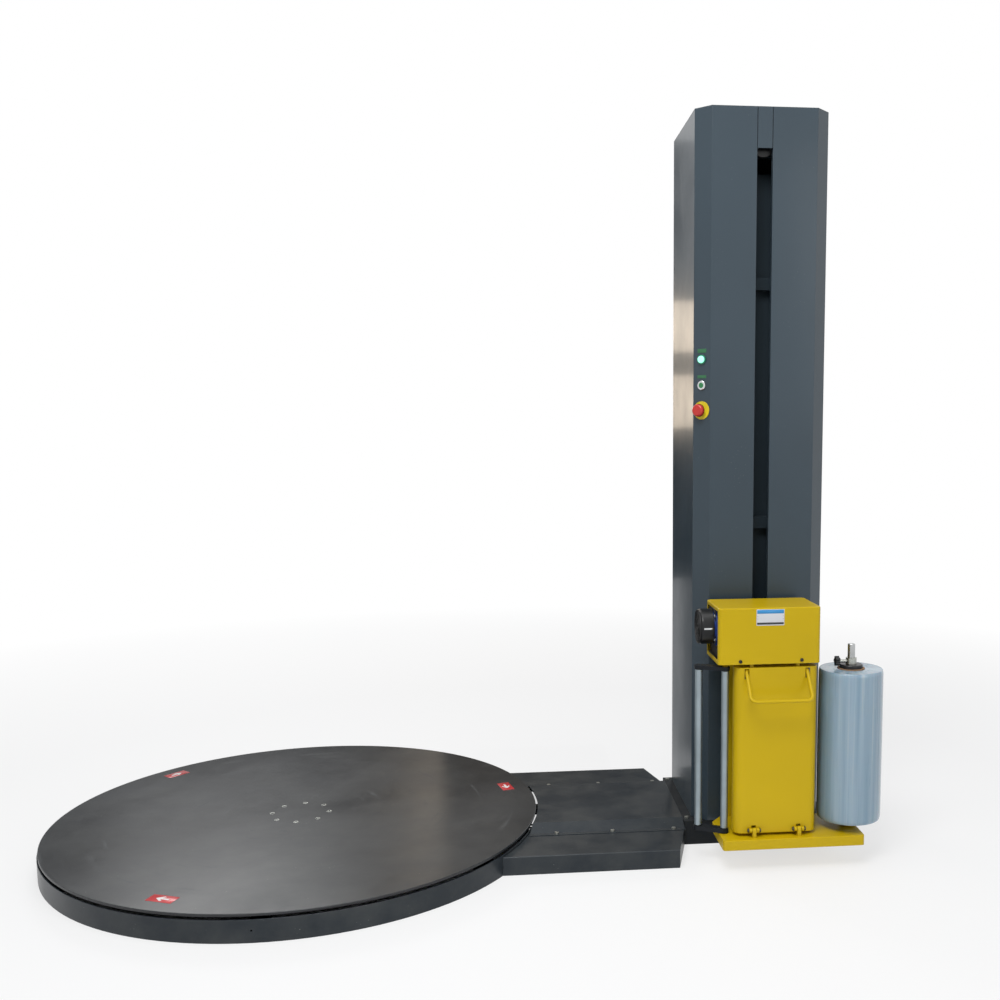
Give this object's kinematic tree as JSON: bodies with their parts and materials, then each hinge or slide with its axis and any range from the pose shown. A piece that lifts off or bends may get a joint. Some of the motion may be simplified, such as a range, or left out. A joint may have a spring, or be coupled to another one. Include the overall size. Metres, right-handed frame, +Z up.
{
  "type": "turntable pallet wrapper",
  "caption": "Stretch-film pallet wrapper: low round turntable, bridge with chain drive, slotted mast, and a lifting film carriage with roll, stretch rollers and dancer.",
  "frame": {"origin": "turntable axis at floor level", "axes": "+X from the turntable along the bridge to the mast, +Z up, the film carriage is on the -Y side of the mast"},
  "size_m": [2.7788, 1.656, 2.446],
  "materials": {
    "base_paint": "satin",
    "mast_paint": "gloss",
    "table_paint": "satin",
    "yellow_paint": "gloss",
    "zinc_steel": "satin",
    "roller_aluminium": "satin",
    "cast_motor": "painted",
    "motor_aluminium": "painted",
    "black_plastic": "matte",
    "nylon": "matte",
    "black_rubber": "matte",
    "film": "translucent stretch film",
    "cardboard": "wound paperboard",
    "chrome": "polished",
    "lamp_lens": "lit",
    "green_plastic": "gloss",
    "yellow_plastic": "gloss",
    "red_plastic": "gloss",
    "silver": "satin",
    "grey_plastic": "matte"
  },
  "bodies": {
    "base": {"base_ring": "base_paint", "base_frame": "base_paint", "wheel_forks": "base_paint", "bridge_front_wing": "base_paint", "bridge_back_wing": "base_paint", "chain_cover": "base_paint", "mast_foot": "base_paint", "mast_left_shell": "mast_paint", "mast_right_shell": "mast_paint", "mast_back_panel": "mast_paint", "mast_cap": "mast_paint", "slot_strip": "mast_paint", "cover_screws": "zinc_steel", "rail_frame": "base_paint", "lift_gearmotor": "cast_motor", "table_gearmotor": "cast_motor", "power_lamp": "lamp_lens", "button_bezel": "chrome", "estop_collar": "yellow_plastic", "cable_gland": "black_plastic", "drive_chain": "zinc_steel", "lift_belt": "black_rubber", "electrics_box": "grey_plastic"},
    "turntable": {"turntable_plate": "table_paint", "table_sprocket": "zinc_steel"},
    "drive": {"drive_sprocket": "zinc_steel"},
    "top_pulley": {"top_pulley": "zinc_steel"},
    "bottom_pulley": {"bottom_pulley": "zinc_steel"},
    "start_button": {"start_button": "green_plastic"},
    "estop_stem": {"estop_stem": "silver"},
    "estop_head": {"estop_head": "red_plastic"},
    "carriage": {"carriage_base": "yellow_paint", "carriage_back": "yellow_paint", "motor_box": "yellow_paint", "stretch_gearmotor": "motor_aluminium", "motor_cowl": "black_plastic", "trolley_frame": "zinc_steel"},
    "fast_roller": {"fast_stretch_roller": "black_rubber"},
    "slow_roller": {"slow_stretch_roller": "black_rubber"},
    "door": {"film_door": "yellow_paint"},
    "door_roller": {"door_roller": "roller_aluminium"},
    "door_handle": {"door_handle": "yellow_paint"},
    "guide_roller": {"guide_roller": "roller_aluminium"},
    "dancer_arm": {"dancer_arm": "grey_plastic"},
    "dancer_roller": {"dancer_roller": "roller_aluminium"},
    "reel": {"roll_mandrel": "zinc_steel", "film_core": "cardboard", "film_roll": "film"},
    "roll_flange": {"roll_flange": "black_plastic"},
    "lock_knob": {"lock_knob": "black_plastic"},
    "support_wheel_1": {"support_wheel_1": "nylon"},
    "support_wheel_2": {"support_wheel_2": "nylon"},
    "support_wheel_3": {"support_wheel_3": "nylon"},
    "support_wheel_4": {"support_wheel_4": "nylon"},
    "support_wheel_5": {"support_wheel_5": "nylon"},
    "support_wheel_6": {"support_wheel_6": "nylon"},
    "trolley_wheel_1": {"trolley_wheel_1": "nylon"},
    "trolley_wheel_2": {"trolley_wheel_2": "nylon"},
    "trolley_wheel_3": {"trolley_wheel_3": "nylon"},
    "trolley_wheel_4": {"trolley_wheel_4": "nylon"}
  },
  "joints": [
    {"name": "turntable_spin", "type": "hinge", "parent": "base", "child": "turntable", "pos_m": [0, 0, 0.085], "axis": [0, 0, 1], "continuous": true},
    {"name": "drive_spin", "type": "hinge", "parent": "base", "child": "drive", "pos_m": [1.44, 0, 0.0375], "axis": [0, 0, 1], "continuous": true},
    {"name": "support_wheel_1_spin", "type": "hinge", "parent": "base", "child": "support_wheel_1", "pos_m": [0.55426, 0.32, 0.0547], "axis": [0.866, 0.5, 0], "continuous": true},
    {"name": "support_wheel_2_spin", "type": "hinge", "parent": "base", "child": "support_wheel_2", "pos_m": [0, 0.64, 0.0547], "axis": [0, 1, 0], "continuous": true},
    {"name": "support_wheel_3_spin", "type": "hinge", "parent": "base", "child": "support_wheel_3", "pos_m": [-0.55426, 0.32, 0.0547], "axis": [-0.866, 0.5, 0], "continuous": true},
    {"name": "support_wheel_4_spin", "type": "hinge", "parent": "base", "child": "support_wheel_4", "pos_m": [-0.55426, -0.32, 0.0547], "axis": [-0.866, -0.5, 0], "continuous": true},
    {"name": "support_wheel_5_spin", "type": "hinge", "parent": "base", "child": "support_wheel_5", "pos_m": [0, -0.64, 0.0547], "axis": [0, -1, 0], "continuous": true},
    {"name": "support_wheel_6_spin", "type": "hinge", "parent": "base", "child": "support_wheel_6", "pos_m": [0.55426, -0.32, 0.0547], "axis": [0.866, -0.5, 0], "continuous": true},
    {"name": "carriage_lift", "type": "slide", "parent": "base", "child": "carriage", "axis": [0, 0, 1], "range_m": [0, 1.5]},
    {"name": "top_pulley_spin", "type": "hinge", "parent": "base", "child": "top_pulley", "pos_m": [1.578, -0.211, 2.33], "axis": [0, 1, 0], "continuous": true},
    {"name": "bottom_pulley_spin", "type": "hinge", "parent": "base", "child": "bottom_pulley", "pos_m": [1.578, -0.211, 0.2], "axis": [0, 1, 0], "continuous": true},
    {"name": "trolley_wheel_1_spin", "type": "hinge", "parent": "carriage", "child": "trolley_wheel_1", "pos_m": [1.483, -0.176, 0.34], "axis": [1, 0, 0], "continuous": true},
    {"name": "trolley_wheel_2_spin", "type": "hinge", "parent": "carriage", "child": "trolley_wheel_2", "pos_m": [1.673, -0.176, 0.34], "axis": [1, 0, 0], "continuous": true},
    {"name": "trolley_wheel_3_spin", "type": "hinge", "parent": "carriage", "child": "trolley_wheel_3", "pos_m": [1.483, -0.176, 0.62], "axis": [1, 0, 0], "continuous": true},
    {"name": "trolley_wheel_4_spin", "type": "hinge", "parent": "carriage", "child": "trolley_wheel_4", "pos_m": [1.673, -0.176, 0.62], "axis": [1, 0, 0], "continuous": true},
    {"name": "fast_roller_spin", "type": "hinge", "parent": "carriage", "child": "fast_roller", "pos_m": [1.53, -0.385, 0.4], "axis": [0, 0, 1], "continuous": true},
    {"name": "slow_roller_spin", "type": "hinge", "parent": "carriage", "child": "slow_roller", "pos_m": [1.604, -0.385, 0.4], "axis": [0, 0, 1], "continuous": true},
    {"name": "door_hinge", "type": "hinge", "parent": "carriage", "child": "door", "pos_m": [1.575, -0.485, 0.133], "axis": [1, 0, 0], "range_deg": [0, 90]},
    {"name": "door_roller_spin", "type": "hinge", "parent": "door", "child": "door_roller", "pos_m": [1.567, -0.45, 0.4], "axis": [0, 0, 1], "continuous": true},
    {"name": "handle_lift", "type": "hinge", "parent": "door", "child": "door_handle", "pos_m": [1.575, -0.466, 0.655], "axis": [-1, 0, 0], "range_deg": [0, 35]},
    {"name": "guide_roller_spin", "type": "hinge", "parent": "carriage", "child": "guide_roller", "pos_m": [1.421, -0.433, 0.4], "axis": [0, 0, 1], "continuous": true},
    {"name": "dancer_swing", "type": "hinge", "parent": "carriage", "child": "dancer_arm", "pos_m": [1.421, -0.433, 0.4], "axis": [0, 0, 1], "range_deg": [0, 45], "stiffness_Nm_per_rad": 4, "springref_deg": -20.05},
    {"name": "dancer_roller_spin", "type": "hinge", "parent": "dancer_arm", "child": "dancer_roller", "pos_m": [1.342, -0.395, 0.4], "axis": [0, 0, 1], "continuous": true},
    {"name": "reel_spin", "type": "hinge", "parent": "carriage", "child": "reel", "pos_m": [1.846, -0.405, 0.4], "axis": [0, 0, 1], "continuous": true},
    {"name": "flange_lift", "type": "slide", "parent": "reel", "child": "roll_flange", "axis": [0, 0, 1], "range_m": [0, 0.11]},
    {"name": "knob_turn", "type": "hinge", "parent": "roll_flange", "child": "lock_knob", "pos_m": [1.8, -0.405, 0.664], "axis": [1, 0, 0], "range_deg": [0, 720]},
    {"name": "start_button_press", "type": "slide", "parent": "base", "child": "start_button", "axis": [0.7071, 0.7071, 0], "range_m": [0, 0.003], "stiffness_N_per_m": 600, "springref_m": -0.001},
    {"name": "estop_push", "type": "slide", "parent": "base", "child": "estop_stem", "axis": [0.7071, 0.7071, 0], "range_m": [0, 0.004], "stiffness_N_per_m": 1200, "springref_m": -0.001},
    {"name": "estop_twist", "type": "hinge", "parent": "estop_stem", "child": "estop_head", "pos_m": [1.37, -0.23, 1.48], "axis": [0.7071, 0.7071, 0], "range_deg": [0, 45], "stiffness_Nm_per_rad": 0.05, "springref_deg": -11.46}
  ],
  "couplings": [
    {"joint": "drive_spin", "follows": "turntable_spin", "ratio": 4.2353},
    {"joint": "support_wheel_1_spin", "follows": "turntable_spin", "ratio": -29.091},
    {"joint": "support_wheel_2_spin", "follows": "turntable_spin", "ratio": -29.091},
    {"joint": "support_wheel_3_spin", "follows": "turntable_spin", "ratio": -29.091},
    {"joint": "support_wheel_4_spin", "follows": "turntable_spin", "ratio": -29.091},
    {"joint": "support_wheel_5_spin", "follows": "turntable_spin", "ratio": -29.091},
    {"joint": "support_wheel_6_spin", "follows": "turntable_spin", "ratio": -29.091},
    {"joint": "top_pulley_spin", "follows": "carriage_lift", "rad_per_m": 27.778},
    {"joint": "bottom_pulley_spin", "follows": "carriage_lift", "rad_per_m": 27.778},
    {"joint": "trolley_wheel_1_spin", "follows": "carriage_lift", "rad_per_m": -45.045},
    {"joint": "trolley_wheel_2_spin", "follows": "carriage_lift", "rad_per_m": -45.045},
    {"joint": "trolley_wheel_3_spin", "follows": "carriage_lift", "rad_per_m": 45.045},
    {"joint": "trolley_wheel_4_spin", "follows": "carriage_lift", "rad_per_m": 45.045},
    {"joint": "slow_roller_spin", "follows": "fast_roller_spin", "ratio": -0.68182}
  ]
}
